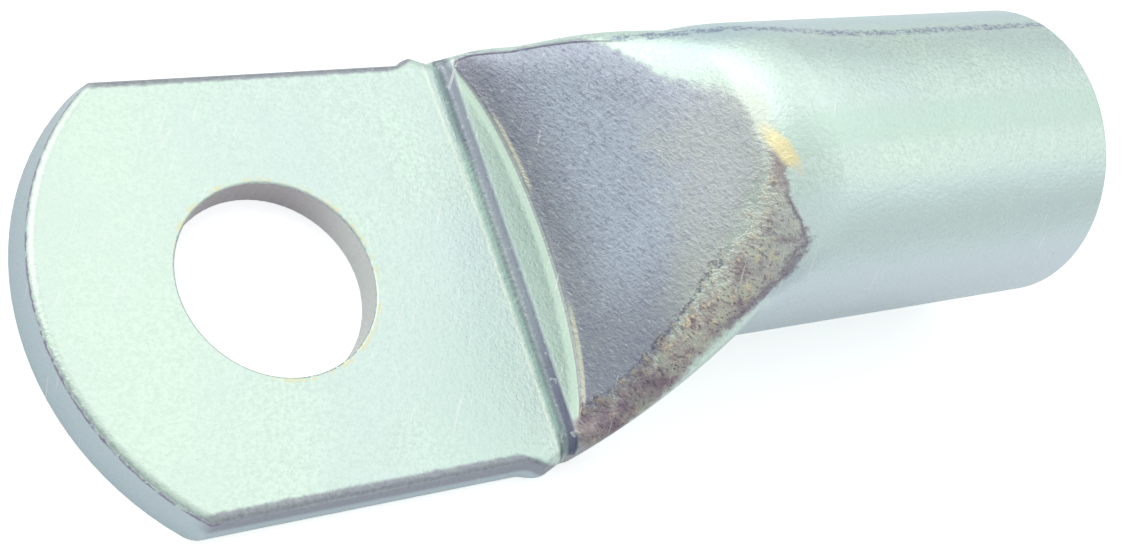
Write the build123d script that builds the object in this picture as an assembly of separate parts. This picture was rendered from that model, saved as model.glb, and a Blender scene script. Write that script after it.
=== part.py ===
from build123d import *
import os
from math import atan, cos, radians, sin, sqrt, tan

# A tubular cable lug: one length of tinned copper tube, pressed flat, trimmed and punched at
# one end. Lengths are in millimetres. The origin is the middle of the stud hole on the
# underside of the palm. +X runs along the lug to the open mouth, and +Z is up.

# The tube that the lug is pressed from
tube_diameter = 20.7
tube_wall = 1.6
mouth_x = 55.6
mouth_edge_radius = 0.25

# The bore, opened out by a mandrel as far as the conductor goes in
bore_diameter = 18.0
bore_end_x = 31.0

# The palm, the flat end that is bolted down
palm_width = 28.5
palm_thickness = 2.4
palm_tip_x = -15.05
palm_tip_radius = 18.44
stud_hole_diameter = 13.0
die_roll_radius = 0.6
hole_edge_radius = 0.2
shear_angle = 14.0

# Pressed thinner, the metal spreads sideways, and from here it narrows again to the step
spread_end_x = 10.5

# The shoulders, where the trimmed sides of the palm run out to the full pressed width
shoulder_rise = 0.35
shoulder_x = 12.9
shoulder_radius = 1.8
shoulder_angle = 60.0

# The step up from the palm, which is pressed thinner, to the two walls lying together
step_x = 15.75
step_run = 0.6

# The flanks, from the step to the round barrel, with one section on the way
flank_middle_x = 21.6
flank_middle_width = 25.9
flank_middle_height = 12.4
barrel_start_x = 26.6
barrel_flat_angle = 6.0

# The hollow ramp that the press leaves in the top, part of a cone stretched across the lug
ramp_foot_x = 19.1
ramp_foot_half_width = 14.4
ramp_foot_depth = 4.0
ramp_angle = 64.0
ramp_crest_drop = 6.4

# The hollow begins as a thin slit, and the ramp closes it again before the step
slit_height = 0.3

# One overrun serves all cuts
overrun = 1.0

tube_radius = tube_diameter / 2
pressed_width = palm_width + 2 * shoulder_rise
folded_thickness = 2 * tube_wall
from_base = (Align.CENTER, Align.CENTER, Align.MIN)


def across(x):
    """The plane across the lug at x, drawn with +Y to the right and +Z up."""
    return Plane(origin=(x, 0, 0), x_dir=(0, 1, 0), z_dir=(1, 0, 0))


def flattened(x, width, height, inset=0):
    """The flattened tube at x, two straight walls and two round folds, all moved in by inset."""
    fold = height / 2
    flat = width / 2 - fold
    low, high, side = inset, height - inset, width / 2 - inset
    outline = [
        Line((-flat, low), (flat, low)),
        ThreePointArc((flat, low), (side, fold), (flat, high)),
        Line((flat, high), (-flat, high)),
        ThreePointArc((-flat, high), (-side, fold), (-flat, low)),
    ]
    return across(x) * make_face(outline)


def round_tube(x, inset):
    """The round tube at x in four arcs, matching the four edges of the flattened tube."""
    radius = tube_radius - inset
    turn = radians(barrel_flat_angle)
    flat, rise = radius * sin(turn), radius * cos(turn)
    low, high = tube_radius - rise, tube_radius + rise
    outline = [
        ThreePointArc((-flat, low), (0, inset), (flat, low)),
        ThreePointArc((flat, low), (radius, tube_radius), (flat, high)),
        ThreePointArc((flat, high), (0, tube_diameter - inset), (-flat, high)),
        ThreePointArc((-flat, high), (-radius, tube_radius), (-flat, low)),
    ]
    return across(x) * make_face(outline)


def tube(inset, start_height, end_x):
    """The flanks and the round barrel as one solid, with the skin moved in by inset."""
    flanks = loft([
        flattened(step_x + step_run, pressed_width, start_height, inset),
        flattened(flank_middle_x, flank_middle_width, flank_middle_height, inset),
        round_tube(barrel_start_x, inset),
    ])
    return flanks + extrude(round_tube(barrel_start_x, inset), end_x - barrel_start_x)


def ramp():
    """The space that the press takes, above the folded walls and in front of the ramp."""
    stretch = ramp_foot_half_width / ramp_foot_depth
    run = (tube_diameter - folded_thickness) * stretch / tan(radians(ramp_angle))
    slope = atan((tube_diameter - folded_thickness) / run)
    crest = ramp_foot_half_width + run
    reach = ramp_crest_drop / sin(slope)
    blend = reach / tan(slope / 2)
    start = (crest - reach * cos(slope), tube_diameter - ramp_crest_drop)
    middle = (crest + reach - blend * sin(slope / 2), tube_diameter - blend * (1 - cos(slope / 2)))
    end = (crest + reach, tube_diameter)
    top = tube_diameter + overrun
    profile = [
        Line((0, folded_thickness), (ramp_foot_half_width, folded_thickness)),
        Line((ramp_foot_half_width, folded_thickness), start),
        ThreePointArc(start, middle, end),
        Line(end, (crest + reach, top)),
        Line((crest + reach, top), (0, top)),
        Line((0, top), (0, folded_thickness)),
    ]
    cone = revolve(Plane.XZ * make_face(profile), Axis.Z)
    return Pos(ramp_foot_x - ramp_foot_depth, 0, 0) * scale(cone, by=(1 / stretch, 1, 1))


def trim_outline():
    """The outline that the palm is trimmed to. Past the shoulders it stands clear of the folds."""
    half, clear = palm_width / 2, pressed_width / 2 + overrun
    corner_x = palm_tip_x + palm_tip_radius - sqrt(palm_tip_radius**2 - half**2)
    turn = radians(shoulder_angle)
    bend_x = shoulder_x + shoulder_radius * sin(turn / 2)
    bend_y = half + shoulder_radius * (1 - cos(turn / 2))
    rise_x = shoulder_x + shoulder_radius * sin(turn)
    rise_y = half + shoulder_radius * (1 - cos(turn))
    clear_x = rise_x + (clear - rise_y) / tan(turn)
    end_x = step_x + overrun
    side = Curve() + [
        Line((corner_x, half), (shoulder_x, half)),
        ThreePointArc((shoulder_x, half), (bend_x, bend_y), (rise_x, rise_y)),
        Line((rise_x, rise_y), (clear_x, clear)),
        Line((clear_x, clear), (end_x, clear)),
    ]
    tip = ThreePointArc((corner_x, half), (palm_tip_x, 0), (corner_x, -half))
    end = Line((end_x, clear), (end_x, -clear))
    return make_face(side + mirror(side, about=Plane.XZ) + [tip, end])


def palm():
    """The palm, pressed thinner than the two walls, then trimmed and punched from above."""
    spread = flattened(spread_end_x, palm_width + 2 * palm_thickness, palm_thickness)
    blank = extrude(spread, palm_tip_x - overrun - spread_end_x)
    blank += loft([spread, flattened(step_x, pressed_width, palm_thickness)], ruled=True)
    outline = Pos(0, 0, palm_thickness) * trim_outline()
    trimmed = blank & extrude(outline, -palm_thickness, taper=-shear_angle)
    top = trimmed.faces().sort_by(Axis.Z)[-1]
    rolled = top.edges().filter_by(lambda edge: edge.center().X < spread_end_x)
    trimmed = fillet(rolled, die_roll_radius)
    punched = trimmed - Cylinder(stud_hole_diameter / 2, palm_thickness, align=from_base)
    rims = punched.edges().filter_by(GeomType.CIRCLE)
    rims = rims.filter_by(lambda rim: rim.radius == stud_hole_diameter / 2)
    return fillet(rims.sort_by(Axis.Z)[-1], hole_edge_radius)


def lug():
    """The whole lug, one piece of metal."""
    pressed = ramp()
    wall_shift = tube_wall * tan(radians(ramp_angle / 2))
    outside = tube(0, folded_thickness, mouth_x) - pressed
    inside = tube(tube_wall, folded_thickness + slit_height, mouth_x + overrun)
    inside -= Pos(wall_shift, 0, -tube_wall) * pressed
    step = loft([
        flattened(step_x, pressed_width, palm_thickness),
        flattened(step_x + step_run, pressed_width, folded_thickness),
    ], ruled=True)
    seat = Plane(origin=(bore_end_x, 0, tube_radius), z_dir=(1, 0, 0))
    bore = seat * Cylinder(bore_diameter / 2, mouth_x - bore_end_x + overrun, align=from_base)
    body = palm() + step + outside - inside - bore
    mouth = body.faces().sort_by(Axis.X)[-1]
    return fillet(mouth.edges(), mouth_edge_radius)


os.makedirs("parts", exist_ok=True)
export_step(lug(), "parts/lug.step")
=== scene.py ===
import bpy
import bmesh
import math
import numpy as np
from mathutils import Matrix, Vector


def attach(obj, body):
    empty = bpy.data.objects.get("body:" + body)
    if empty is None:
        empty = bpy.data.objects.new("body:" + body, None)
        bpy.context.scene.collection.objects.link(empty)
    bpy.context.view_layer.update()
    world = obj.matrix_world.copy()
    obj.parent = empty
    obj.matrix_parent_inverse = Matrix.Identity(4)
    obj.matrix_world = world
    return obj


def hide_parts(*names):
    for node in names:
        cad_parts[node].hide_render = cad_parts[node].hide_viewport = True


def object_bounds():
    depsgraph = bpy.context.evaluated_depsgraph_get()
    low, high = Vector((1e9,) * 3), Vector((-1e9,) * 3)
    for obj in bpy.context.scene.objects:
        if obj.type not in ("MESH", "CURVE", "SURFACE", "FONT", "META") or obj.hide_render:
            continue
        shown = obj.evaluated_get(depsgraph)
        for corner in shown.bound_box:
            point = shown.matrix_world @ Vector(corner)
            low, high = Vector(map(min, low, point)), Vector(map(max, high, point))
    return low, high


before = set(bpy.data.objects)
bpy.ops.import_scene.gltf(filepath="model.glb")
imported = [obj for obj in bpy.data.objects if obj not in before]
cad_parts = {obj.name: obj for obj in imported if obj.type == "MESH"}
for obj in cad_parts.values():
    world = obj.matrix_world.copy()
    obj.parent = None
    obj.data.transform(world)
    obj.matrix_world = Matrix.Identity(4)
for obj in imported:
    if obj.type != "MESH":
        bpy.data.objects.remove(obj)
cad_low, cad_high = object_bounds()

# The barrel and the ramp, in tinned copper.
# One length of tube, left round at the mouth and pressed flat towards the palm, with a hollow
# ramp where the press tool stops. It is made as rings of points across the lug, in mm.

MM = 0.001
TUBE_RADIUS, BORE_RADIUS, WALL, MOUTH_ROUNDING = 10.35, 8.9, 1.6, 0.25
PALM_THICKNESS, FOLDED_THICKNESS, PRESSED_HALF, SPREAD_SLOPE = 2.4, 3.2, 14.6, 0.39
CUT_X, STEP_X, STEP_RUN, BORE_END_X, MOUTH_X = 15.2, 15.75, 0.6, 31.0, 55.6
RAMP_FOOT_X, RAMP_DEPTH, RAMP_HALF, RAMP_ANGLE = 19.1, 4.0, 14.4, math.radians(64)
FLANK_X = (16.35, 21.6, 26.6)
HALF_CURVE = np.polyfit(FLANK_X, (PRESSED_HALF, 12.95, TUBE_RADIUS), 2)
HEIGHT_CURVE = np.polyfit(FLANK_X, (FOLDED_THICKNESS, 12.4, 2 * TUBE_RADIUS), 2)
FAR_INSIDE = -9.0
POINTS, HALVINGS = 220, 32


def ease(t):
    t = np.clip(t, 0, 1)
    return t * t * (3 - 2 * t)


def smooth_max(a, b, width):
    """The larger of two distances, blended over a width where they are about equal."""
    h = np.maximum(width - np.abs(a - b), 0) / width
    return np.maximum(a, b) + h * h * width / 4


def half_and_height(x):
    """Half the width and the whole height of the flattened tube at x."""
    rise = np.sqrt(1 - (1 - np.clip((x - STEP_X) / STEP_RUN, 0, 1)) ** 2)
    spread = PRESSED_HALF + SPREAD_SLOPE * np.maximum(STEP_X - x, 0)
    half = np.where(x < FLANK_X[0], spread, np.polyval(HALF_CURVE, x))
    step = PALM_THICKNESS + (FOLDED_THICKNESS - PALM_THICKNESS) * rise
    height = np.where(x < FLANK_X[0], step, np.polyval(HEIGHT_CURVE, x))
    half = np.where(x > FLANK_X[2], TUBE_RADIUS, half)
    return half, np.where(x > FLANK_X[2], 2 * TUBE_RADIUS, height)


def outside_tube(x, y, z, inset):
    """How far a point lies outside the flattened tube."""
    half, height = half_and_height(x)
    fold = height / 2
    return np.hypot(np.maximum(np.abs(y) - (half - fold), 0), z - fold) - fold + inset


def inside_press(x, y, z, inset):
    """How far a point lies inside the space that the press takes out."""
    up = z + inset - FOLDED_THICKNESS
    grown = np.maximum(up, 0) / math.tan(RAMP_ANGLE)
    reach = 1 - (y / (RAMP_HALF + grown * RAMP_HALF / RAMP_DEPTH)) ** 2
    foot = RAMP_FOOT_X - RAMP_DEPTH + (RAMP_DEPTH + grown) * np.sqrt(np.maximum(reach, 0))
    front = (foot - x + inset * math.tan(RAMP_ANGLE / 2)) * math.sin(RAMP_ANGLE)
    return -smooth_max(-up, -front, 0.7)


def outside_metal(x, y, z, inset):
    """How far a point lies outside the pressed tube, whose edges grow rounder higher up."""
    tube, press = outside_tube(x, y, z, inset), inside_press(x, y, z, inset)
    press = np.where(x < FLANK_X[0], FAR_INSIDE, press)
    rounding = 0.3 + 2.0 * ease((z - 3.3) / 3) + 2.8 * ease((z - 9) / 8)
    return smooth_max(tube, press, rounding)


def rings(stations, inset):
    """Rings of points on the surface, each found by halving from the middle of the section."""
    x = np.asarray(stations, float)[:, None]
    angle = np.linspace(0, 2 * math.pi, POINTS, endpoint=False)[None, :]
    half, height = half_and_height(x)
    ramp_x = RAMP_FOOT_X + inset * math.tan(RAMP_ANGLE / 2)
    ramp_top = FOLDED_THICKNESS - inset + (x - ramp_x) * math.tan(RAMP_ANGLE)
    top = np.minimum(height - inset, np.maximum(ramp_top, FOLDED_THICKNESS - inset))
    middle = (top + inset) / 2
    start_y = (half - height / 2) * np.clip(1.35 * np.cos(angle), -1, 1)
    low, high = np.zeros_like(start_y), np.full_like(start_y, 2 * TUBE_RADIUS)
    for _ in range(HALVINGS):
        way = (low + high) / 2
        spot_y, spot_z = start_y + way * np.cos(angle), middle + way * np.sin(angle)
        out = outside_metal(x, spot_y, spot_z, inset) > 0
        low, high = np.where(out, low, way), np.where(out, way, high)
    return np.stack([x + 0 * low, start_y + low * np.cos(angle), middle + low * np.sin(angle)], 2)


def circle(x, radius):
    angle = np.linspace(0, 2 * math.pi, POINTS, endpoint=False)
    across, up = radius * np.cos(angle), TUBE_RADIUS + radius * np.sin(angle)
    return np.stack([x + 0 * angle, across, up], 1)[None]


def mouth_ring(turn, edge_radius, out_or_in):
    """A ring on the mouth's rounded edge, out_or_in being 1 at the outside and -1 at the bore."""
    x = MOUTH_X - MOUTH_ROUNDING + MOUTH_ROUNDING * math.sin(turn)
    inset = MOUTH_ROUNDING * (1 - math.cos(turn))
    return circle(x, edge_radius - out_or_in * inset)


outer_x = np.concatenate([
    np.arange(CUT_X + 0.05, STEP_X, 0.15),
    STEP_X + STEP_RUN * (1 - np.cos(np.linspace(0, 1.5, 9))),
    np.arange(16.45, 19.6, 0.12), np.arange(19.6, BORE_END_X, 0.16),
    np.linspace(BORE_END_X + 0.2, MOUTH_X - MOUTH_ROUNDING, 14)])
outer_edge = [mouth_ring(turn, TUBE_RADIUS, 1) for turn in np.linspace(0.2, math.pi / 2, 6)]
inner_edge = [mouth_ring(turn, BORE_RADIUS, -1) for turn in np.linspace(math.pi / 2, 0, 6)]
bore = [circle(x, BORE_RADIUS) for x in np.linspace(MOUTH_X - 2, BORE_END_X + 0.02, 12)]
inner_x = np.concatenate([[BORE_END_X - 0.02], np.arange(30.7, 20.6, -0.3)])
skin = np.concatenate([rings(outer_x, 0.0)] + outer_edge + inner_edge + bore + [rings(inner_x, WALL)])

body = bmesh.new()
points = [body.verts.new(spot) for spot in skin.reshape(-1, 3) * MM]
ring_starts = range(0, len(points), POINTS)
for here, there in zip(ring_starts, ring_starts[1:]):
    for p in range(POINTS):
        q = (p + 1) % POINTS
        body.faces.new([points[i] for i in (here + p, here + q, there + q, there + p)])
body.faces.new(points[-POINTS:])

# The palm, pressed thinner, trimmed to its outline and punched for the stud.
# Its true shape comes with the frame, so it is cut off there just before the step and
# sewn to the first ring of the tube.

HOLE_RADIUS, SHEAR_ANGLE, SHOULDER_X = 6.5, math.radians(14), 12.9
TIP_RADIUS, TIP_CENTRE_X = 18.44, 3.39

palm = bmesh.new()
palm.from_mesh(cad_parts["lug"].data)
bmesh.ops.remove_doubles(palm, verts=palm.verts, dist=0.002 * MM)
bmesh.ops.bisect_plane(
    palm, geom=palm.verts[:] + palm.edges[:] + palm.faces[:], dist=0.0005 * MM,
    plane_co=(CUT_X * MM, 0, 0), plane_no=(1, 0, 0), clear_outer=True)
palm_mesh = bpy.data.meshes.new("palm_shape")
palm.to_mesh(palm_mesh)
palm.free()
body.from_mesh(palm_mesh)
bmesh.ops.bridge_loops(body, edges=[e for e in body.edges if e.is_boundary])
bmesh.ops.recalc_face_normals(body, faces=body.faces)

lug_mesh = bpy.data.meshes.new("lug_body")
body.to_mesh(lug_mesh)
body.free()
lug = bpy.data.objects.new("lug_body", lug_mesh)
bpy.context.scene.collection.objects.link(lug)
for polygon in lug_mesh.polygons:
    polygon.use_smooth = True
lug_mesh.set_sharp_from_angle(angle=math.radians(32))
even = lug.modifiers.new("even_normals", "WEIGHTED_NORMAL")
even.keep_sharp = True
evaluated = lug.evaluated_get(bpy.context.evaluated_depsgraph_get())
even_mesh = bpy.data.meshes.new_from_object(evaluated)
lug.modifiers.clear()
lug.data = lug_mesh = even_mesh

# The punched wall of the hole is a true cylinder, the sheared wall of the tip a true cone and
# the sheared sides are flat, so each is shaded as that surface and not as its triangles.
shading = [n.vector.copy() for n in lug_mesh.corner_normals]
lean_out, lean_up = math.cos(SHEAR_ANGLE), math.sin(SHEAR_ANGLE)
for polygon in lug_mesh.polygons:
    upright = abs(polygon.normal.z) < 0.3
    in_hole = upright and polygon.center.xy.length < (HOLE_RADIUS + 0.05) * MM
    on_shear = 0.2 < polygon.normal.z < 0.29 and polygon.center.x < SHOULDER_X * MM
    for corner in polygon.loop_indices if in_hole or on_shear else ():
        spot = lug_mesh.vertices[lug_mesh.loops[corner].vertex_index].co
        from_middle = Vector((spot.x - TIP_CENTRE_X * MM, spot.y, 0)).normalized()
        if in_hole:
            shading[corner] = Vector((-spot.x, -spot.y, 0)).normalized()
        elif abs(polygon.normal.y) > 0.95:
            shading[corner] = polygon.normal.copy()
        elif polygon.normal.dot(from_middle) > 0.94:
            shading[corner] = from_middle * lean_out + Vector((0, 0, lean_up))
lug_mesh.normals_split_custom_set(shading)

# The tin plating, dull silver with a mint cast, thin over the copper.
# The press has rubbed it grey on the ramp and through to the copper along the ramp's near
# edge, and the sheared wall round the palm is blue-grey.

# The mesh carries three measures for the plating: ridge, the distance past the edge of the
# ramp, and foot, the distance past the ramp's foot, both in mm, and sheared, 1 on that wall.
FARTHEST = 9.0
at = np.empty(len(lug_mesh.vertices) * 3)
lug_mesh.vertices.foreach_get("co", at)
px, py, pz = (at.reshape(-1, 3) / MM).T
outer = (np.abs(outside_metal(px, py, pz, 0)) < 0.4) & (px > CUT_X)
past_ridge = outside_tube(px, py, pz, 0) - inside_press(px, py, pz, 0)
foot_line = RAMP_FOOT_X - RAMP_DEPTH * (1 - np.sqrt(np.maximum(1 - (py / RAMP_HALF) ** 2, 0)))
for name, value, elsewhere in (("ridge", past_ridge, FARTHEST), ("foot", px - foot_line, -FARTHEST)):
    value = np.where(outer, np.clip(value, -FARTHEST, FARTHEST), elsewhere)
    lug_mesh.attributes.new(name, "FLOAT", "POINT").data.foreach_set("value", value.astype(np.float32))
sheared = [float(abs(f.normal.z) < 0.45 and f.center.x < CUT_X * MM) for f in lug_mesh.polygons]
lug_mesh.attributes.new("sheared", "FLOAT", "FACE").data.foreach_set("value", sheared)


class Line:
    """One output of a node tree, which can be used in plain sums."""

    def __init__(self, tree, socket):
        self.tree, self.socket = tree, socket

    def node(self, kind, *inputs, out=0, **settings):
        made = self.tree.nodes.new(kind)
        for name, value in settings.items():
            setattr(made, name, value)
        for name, value in inputs:
            if isinstance(value, Line):
                self.tree.links.new(value.socket, made.inputs[name])
            else:
                made.inputs[name].default_value = value
        return Line(self.tree, made.outputs[out])

    def sum(self, operation, *values):
        return self.node("ShaderNodeMath", *enumerate(values), operation=operation)

    def __add__(self, other): return self.sum("ADD", self, other)
    def __radd__(self, other): return self.sum("ADD", other, self)
    def __sub__(self, other): return self.sum("SUBTRACT", self, other)
    def __rsub__(self, other): return self.sum("SUBTRACT", other, self)
    def __mul__(self, other): return self.sum("MULTIPLY", self, other)
    def __rmul__(self, other): return self.sum("MULTIPLY", other, self)
    def __abs__(self): return self.sum("ABSOLUTE", self)

    def ramp(self, low, high):
        """0 below low, 1 above high and a smooth rise between."""
        return self.node("ShaderNodeMapRange", ("Value", self), ("From Min", low), ("From Max", high),
                         interpolation_type="SMOOTHSTEP")

    def mix(self, other, share):
        return self.node("ShaderNodeMix", (0, share), (6, self), (7, other), out=2, data_type="RGBA")


tin = bpy.data.materials.new("tinned_copper")
tin.use_nodes = True
tree = tin.node_tree
shader = tree.nodes["Principled BSDF"]
start = Line(tree, None)
place = start.node("ShaderNodeTexCoord", out=3)
x, y, z = (start.node("ShaderNodeSeparateXYZ", ("Vector", place), out=i) * 1000 for i in range(3))


def noise(scale, detail, rough, vector=place):
    return start.node("ShaderNodeTexNoise", ("Vector", vector), ("Scale", scale), ("Detail", detail),
                      ("Roughness", rough))


def stretched(direction, axis, size):
    """Object coordinates turned so that axis lies along direction, and scaled by size in metres."""
    turn = Vector(direction).to_track_quat(axis, "Z").to_euler()
    return start.node("ShaderNodeMapping", ("Vector", place), ("Rotation", turn), ("Scale", size),
                      vector_type="TEXTURE")


def band(value, low, high, soft):
    """1 from low to high, fading to 0 over soft on both sides."""
    return value.ramp(low - soft, low) * (1 - value.ramp(high, high + soft))


def larger(a, b):
    return start.sum("MAXIMUM", a, b)


# The grain of the metal, from the finest specks to wide clouds, with strokes where the press
# dragged the metal down the ramp, and a few fine scratches.
speck, coarse, patch = noise(3600, 3.0, 0.7), noise(1300, 4.0, 0.75), noise(520, 3.0, 0.7)
cloud = noise(130, 3.0, 0.5)
stroke = noise(1.0, 4.0, 0.7, stretched((0.24, -0.83, 0.50), "X", (0.0007, 0.00016, 0.00016)))
scratched = stretched((0.80, -0.50, 0.33), "Y", (0.0036, 0.00017, 0.0036))
scratch = noise(1.0, 1.0, 0.5, scratched).ramp(0.70, 0.74) * cloud.ramp(0.46, 0.54)
ridge, foot, sheared = (start.node("ShaderNodeAttribute", out=2, attribute_name=name)
                        for name in ("ridge", "foot", "sheared"))

# Places below are in mm along the lug, and the near side is at negative y. First the ramp, and
# the land of two folded walls in front of it.
nearer = 0 - y
upper = z.ramp(2.9, 3.1) * x.ramp(16.6, 16.9)
near = nearer.ramp(-2.5, 2.5)
above_ridge = larger(z.ramp(9.5, 15) * 2.5, near * (1.5 + z.ramp(7, 13)))
ramp_edge = 0.1 - above_ridge + (coarse - 0.5) * 1.2
on_ramp = upper * foot.ramp(0.0, 0.15) * (1 - (ridge - ramp_edge).ramp(-0.4, 0.4))
shine = foot.ramp(0.2, 2.6) * (0.15 + y.ramp(-10, -3) * 0.85) * (0.5 + cloud)
land = upper * (1 - foot.ramp(-0.1, 0.0)) * (1 - ridge.ramp(-0.6, 0.0))
foot_shade = upper * band(foot, -0.10, 0.04, 0.06)
foot_light = upper * band(foot, 0.10, 0.22, 0.10) * (band(y, 4.5, 8.5, 1.5) + band(y, -12.5, -6, 2.0))
haze = (6 - y).ramp(0, 5) * upper * z.ramp(8, 12)
haze = haze * band(ridge + (patch - 0.5) * 1.5, -3.0, -1.4, 0.8)

# The step and its riser, in painted shade with painted highlights, and painted shade at the folded wall's
# end at the near side.
pressed = x + y.ramp(0.0, 14.0) * 0.4
# Painted shade on the riser, and a faint painted reflection of it on the palm just before the step.
riser_shade = pressed.ramp(15.5, 15.6) * (1 - x.ramp(16.55, 16.75)) * z.ramp(2.2, 2.4)
riser_shade = riser_shade * (0.1 + x.ramp(15.7, 15.8) * 0.9)
# A darker band of painted shade across the riser, darker still at the near end.
riser_dark_shade = band(x, 16.08 - y.ramp(4, 14) * 0.6, 16.42, 0.18) * riser_shade
# A thin painted highlight along the palm's edge at the step.
step_edge_highlight = band(pressed, 15.30, 15.42, 0.08) * z.ramp(2.2, 2.4)
# Painted shade at the folded wall's end on the near side.
fold_end_shade = nearer.ramp(12.3, 13.3) * band(x, 16.0, 19.0, 0.6)

# The crest of the ramp, rubbed through along the near side and worn out at one spot on top, where the
# bare copper is painted bright as a golden glint.
shoulder = z.ramp(9.5, 15.5) * (1 - z.ramp(16.8, 18.2))
low_flank, summit = 1 - z.ramp(7, 12), z.ramp(17.2, 18.4)
crest_place = ridge + 0.6 - shoulder * 1.0 - low_flank * 0.4 + summit * 0.8 + (coarse - 0.5) * 2.6
crest_width = 1.6 + shoulder * 0.9 + low_flank * 0.4 - summit * 0.5
rubbed = (crest_width - abs(crest_place)).ramp(0.0, 1.1) * nearer.ramp(0.0, 3.0)
rubbed = rubbed * x.ramp(16.3, 17.0) * z.ramp(2.9, 3.3)
rubbed = rubbed * larger(foot.ramp(-0.2, 0.1), nearer.ramp(12.2, 12.8))
stain = rubbed * (crest_place - crest_width + 1.5 + (patch - 0.5) * 2.0).ramp(0.0, 0.9)
stain = stain * band(z, 12.5, 17.5, 2.0)
rubbed = rubbed * (1 - z.ramp(11, 18) * (0.15 + patch * 0.4))
edge_line = near * upper * foot.ramp(0.0, 0.3) * (1 - z.ramp(13, 15)) * speck.ramp(0.40, 0.56)
edge_line = edge_line * band(ridge + (coarse - 0.5) * 1.2, -2.1, -2.0, 0.16)
far_line = upper * y.ramp(3, 5) * band(ridge + (speck - 0.5) * 0.2, -0.16, -0.04, 0.10)
far_line = far_line * (1 - x.ramp(22, 25))
# The worn spot on top: bare copper, painted bright as a golden glint.
worn_across, worn_along = (x - 27.65 + (y + 1.9) * 0.3) * 2.2, (y + 1.9) * 0.6
worn_out = worn_across * worn_across + worn_along * worn_along + (coarse - 0.5) * 2.5
worn_copper_glint = (1 - worn_out.ramp(0.2, 1.7)) * z.ramp(15, 16)

# The palm's rolled sides, the dark line along the tip's edge, and the stud hole.
border = 13.62 + x.ramp(12.2, 14.9) * 0.95 + (coarse - 0.5) * 0.4
roll = (abs(y) - border).ramp(0.0, 0.25) * x.ramp(-9.2, -8.0) * (1 - x.ramp(15.3, 15.6))
roll = roll * z.ramp(1.0, 1.5)
from_tip_centre = start.sum("SQRT", (x - TIP_CENTRE_X) * (x - TIP_CENTRE_X) + y * y)
tip = (from_tip_centre - TIP_RADIUS).ramp(-0.35, -0.15) * (1 - x.ramp(-3.0, -2.0))
tip_line = tip * band(z + (speck - 0.5) * 0.2, 1.97, 2.05, 0.08) * coarse.ramp(0.36, 0.52)
from_hole = start.sum("SQRT", x * x + y * y) - HOLE_RADIUS
hole_wall = 1 - from_hole.ramp(-0.02, 0.06)
hole_halo = band(from_hole, 0.14, 0.32, 0.10) * band(x + y * 0.4, -4.0, 8.0, 2.0)

# The barrel's painted reflections: strips lighter and darker by the angle round the tube, and a dark
# painted reflection line along its far side.
barrel = x.ramp(24, 28)
before_forty = larger(40 - x, 0.0)
# A dark painted reflection line along the barrel's far side.
reflection_line_y = y - 5.7 - before_forty * before_forty * 0.017 + (coarse - 0.5) * 1.4
reflection_line = x.ramp(21, 23) * band(reflection_line_y, -0.15, 0.15, 0.3) * z.ramp(11, 12)

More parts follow.
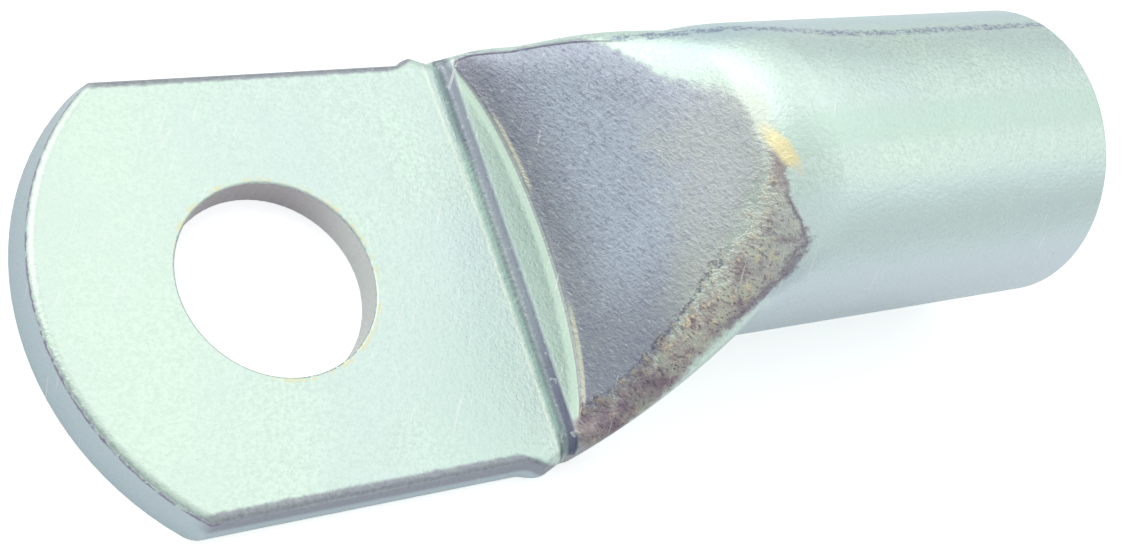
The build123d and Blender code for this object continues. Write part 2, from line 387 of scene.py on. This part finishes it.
# Each tint is laid over the ones before it, as far as its share goes.
tints = (
    ((0.72, 0.86, 0.83), cloud.ramp(0.35, 0.7) * 0.6),
    ((0.60, 0.66, 0.70), stroke.ramp(0.60, 0.72) * 0.35),
    ((0.97, 1.0, 0.98), (1 - stroke).ramp(0.62, 0.74) * 0.5),
    # Painted light on the palm, lighter towards the tip, and painted shade, darker towards its near
    # right.
    ((0.82, 0.97, 0.81), (1 - x.ramp(-11, 5)) * 0.4),
    ((0.66, 0.85, 0.77), x.ramp(4, 12) * nearer.ramp(0, 9) * (1 - x.ramp(14, 15)) * 0.5),
    # Painted reflections on the barrel: strips lighter and darker by the angle round the tube, and the
    # dark reflection line.
    ((0.60, 0.76, 0.80), barrel * y.ramp(5.6, 7.5) * 0.8),
    ((0.66, 0.85, 0.74), barrel * band(y, -2.4, -0.8, 1.0) * 0.6),
    ((0.78, 0.93, 0.91), barrel * nearer.ramp(4.2, 6.0) * 0.7),
    ((0.65, 0.75, 0.81), barrel * nearer.ramp(7.8, 10.0) * 0.85),
    ((0.27, 0.32, 0.48), reflection_line * speck.ramp(0.40, 0.56) * 0.85),
    ((0.40, 0.46, 0.45), coarse.ramp(0.68, 0.74) * 0.5),
    ((0.62, 0.79, 0.66), land * (1.0 - speck * 0.2)),
    ((0.40, 0.40, 0.465), on_ramp * 0.96),
    ((0.61, 0.67, 0.78), on_ramp * shine * 0.9),
    # Painted shade: the ramp darker towards its near side.
    ((0.285, 0.305, 0.36), on_ramp * nearer.ramp(3, 11) * 0.6),
    ((0.27, 0.24, 0.38), on_ramp * stroke.ramp(0.52, 0.64) * 0.5),
    ((0.30, 0.29, 0.42), on_ramp * speck.ramp(0.54, 0.66) * 0.45),
    ((0.97, 0.99, 1.0), on_ramp * (1 - stroke).ramp(0.57, 0.70) * 0.45),
    ((0.66, 0.68, 0.60), haze * (0.9 - speck * 0.7)),
    # Painted shade at the folded wall's end.
    ((0.35, 0.32, 0.37), fold_end_shade * 0.8),
    # Painted shade on the riser, a darker painted band across it and dotted painted highlights over it.
    ((0.46, 0.53, 0.54), riser_shade),
    ((0.28, 0.31, 0.38), riser_dark_shade * (0.7 + nearer.ramp(4, 12) * 0.3)),
    ((0.12, 0.13, 0.20), riser_dark_shade * nearer.ramp(4, 13) * 0.6),
    ((0.85, 0.92, 0.90), riser_shade * coarse.ramp(0.58, 0.68) * 0.5),
    # The painted highlight along the step's edge.
    ((0.93, 1.0, 0.86), step_edge_highlight * 0.7),
    ((0.28, 0.26, 0.32), foot_shade * 0.7),
    ((0.88, 0.88, 0.66), foot_light * 0.6),
    ((0.56, 0.66, 0.72), sheared * 0.9),
    ((0.30, 0.29, 0.36), roll * (1.0 - speck * 0.5)),
    ((0.28, 0.20, 0.33), tip_line * 0.8),
    ((0.84, 0.85, 0.82), hole_wall * 0.9),
    # Painted shade on the far left side of the hole's wall.
    ((0.50, 0.45, 0.48), hole_wall * (y - x * 0.6).ramp(-2, 5) * 0.9),
    ((0.86, 0.82, 0.52), hole_halo * coarse.ramp(0.42, 0.62) * 0.8),
    ((0.58, 0.51, 0.46), rubbed * 0.85),
    ((0.68, 0.72, 0.58), rubbed * patch.ramp(0.50, 0.60) * 0.85),
    ((0.34, 0.25, 0.30), rubbed * (1 - patch).ramp(0.50, 0.62) * 0.7),
    # Golden flecks where the copper shows, painted bright as glints.
    ((0.95, 0.82, 0.56), rubbed * coarse.ramp(0.54, 0.64) * 0.8),
    ((0.27, 0.22, 0.27), rubbed * (1 - z.ramp(6, 11)) * (0.9 - patch * 0.6)),
    ((0.16, 0.12, 0.18), rubbed * stroke.ramp(0.53, 0.63) * 0.8),
    ((0.20, 0.16, 0.26), stain * 0.85),
    ((0.16, 0.14, 0.20), edge_line * 0.75),
    ((0.16, 0.15, 0.22), far_line * 0.8),
    ((1.0, 1.0, 0.95), scratch * 0.45),
    # The worn spot's bare copper, painted bright as a golden glint.
    ((1.0, 0.90, 0.54), worn_copper_glint * 0.95),
)
dull, bright = (0.67, 0.83, 0.74, 1), (0.82, 0.99, 0.89, 1)
colour = start.node("ShaderNodeMix", (0, speck.ramp(0.34, 0.66)), (6, dull), (7, bright),
                    out=2, data_type="RGBA")
for tint, share in tints:
    colour = colour.mix((*tint, 1), share)
rough = 0.20 + speck * 0.20 + on_ramp * 0.12 + rubbed * 0.16
relief = speck * 1.2 + cloud * 4.0 + on_ramp * (stroke * 1.6 + speck * 1.5) + rubbed * coarse * 6.0
bump = start.node("ShaderNodeBump", ("Height", relief), ("Strength", 0.6), ("Distance", 0.06 * MM))
tree.links.new(colour.socket, shader.inputs["Base Color"])
tree.links.new(rough.socket, shader.inputs["Roughness"])
tree.links.new(bump.socket, shader.inputs["Normal"])
shader.inputs["Metallic"].default_value = 1.0
lug_mesh.materials.append(tin)

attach(lug, "root")
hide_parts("lug")

# The floor, the light and the camera, as in the photograph.
# A white table under one very wide soft light, high and to the right, that fades to grey
# towards the left, so the flat faces shine and the ramp stays dark.

FLOOR_HALF = 2
floor_mesh = bpy.data.meshes.new("floor")
floor_corners = [(-FLOOR_HALF, -FLOOR_HALF, 0), (FLOOR_HALF, -FLOOR_HALF, 0),
                 (FLOOR_HALF, FLOOR_HALF, 0), (-FLOOR_HALF, FLOOR_HALF, 0)]
floor_mesh.from_pydata(floor_corners, [], [(0, 1, 2, 3)])
floor = bpy.data.objects.new("floor", floor_mesh)
floor.location.z = cad_low[2]
bpy.context.scene.collection.objects.link(floor)
white = bpy.data.materials.new("white_floor")
white.use_nodes = True
table = white.node_tree.nodes["Principled BSDF"]
table.inputs["Base Color"].default_value = (0.9, 0.9, 0.9, 1)
table.inputs["Roughness"].default_value = 0.9
table.inputs["Specular IOR Level"].default_value = 0.1
table.inputs["Emission Strength"].default_value = 1.0
ray = Line(white.node_tree, None)
to_camera, to_gloss = (ray.node("ShaderNodeLightPath", out=out) for out in (0, 3))
lift = to_camera * 0.50 + to_gloss * 0.06
white.node_tree.links.new(lift.socket, table.inputs["Emission Color"])
floor_mesh.materials.append(white)

world = bpy.data.worlds.new("studio")
world.use_nodes = True
sky = Line(world.node_tree, None)
way = sky.node("ShaderNodeTexCoord", out=0)


def towards(direction):
    """How far the sky at this point lies towards a direction, 1 being straight at it."""
    return sky.node("ShaderNodeVectorMath", (0, way), (1, direction), out=1, operation="DOT_PRODUCT")


# A wide light from above right, narrower ones behind and in front, and a little less light
# from the far right and from near the floor.
above, rear = towards((0.5, 0.2, 0.85)), towards((-0.30, 0.75, 0.60))
behind, front = towards((-0.56, 0.72, 0.41)), towards((0.71, -0.33, 0.62))
right, up = (sky.node("ShaderNodeSeparateXYZ", ("Vector", way), out=i) for i in (0, 2))
glow = above.ramp(-0.15, 0.3) * 0.30 + above.ramp(0.55, 1.0) * 0.13 + rear.ramp(0.5, 0.75) * 0.12 + 0.40
glow = glow + behind.ramp(0.74, 0.94) * 0.68 + front.ramp(0.95, 0.995) * 0.4 - right.ramp(0.5, 0.8) * 0.08
glow = glow * (0.6 + up.ramp(0.0, 0.16) * 0.4)
tinted = sky.node("ShaderNodeCombineColor", (0, glow * 1.03 - 0.05), (1, glow * 1.02 - 0.02),
                  (2, glow * 0.94 + 0.05))
background = world.node_tree.nodes["Background"]
to_camera = sky.node("ShaderNodeLightPath", out=0)
world.node_tree.links.new(tinted.mix((1, 1, 1, 1), to_camera).socket, background.inputs["Color"])
background.inputs["Strength"].default_value = 1.0
bpy.context.scene.world = world

key_data = bpy.data.lights.new("wide_light", "AREA")
key_data.shape, key_data.size, key_data.energy = "SQUARE", 0.6, 0.22
key = bpy.data.objects.new("wide_light", key_data)
key.location = (0.35, 0.18, 0.55)
key.rotation_euler = Vector((0.33, 0.18, 0.55)).to_track_quat("Z", "Y").to_euler()
bpy.context.scene.collection.objects.link(key)

# The camera stands where the outlines of the photograph put it.
camera_data = bpy.data.cameras.new("camera")
camera_data.lens, camera_data.sensor_width, camera_data.clip_start = 60.19, 36.0, 0.005
camera = bpy.data.objects.new("camera", camera_data)
camera.matrix_world = Matrix((
    (0.82378887, 0.10968956, -0.55618351, -0.049512),
    (-0.31536068, 0.90395309, -0.28881906, -0.038365),
    (0.47108336, 0.41332434, 0.77925827, 0.099922),
    (0, 0, 0, 1)))
bpy.context.scene.collection.objects.link(camera)
bpy.context.scene.camera = camera
bpy.context.scene.view_settings.view_transform = "Standard"
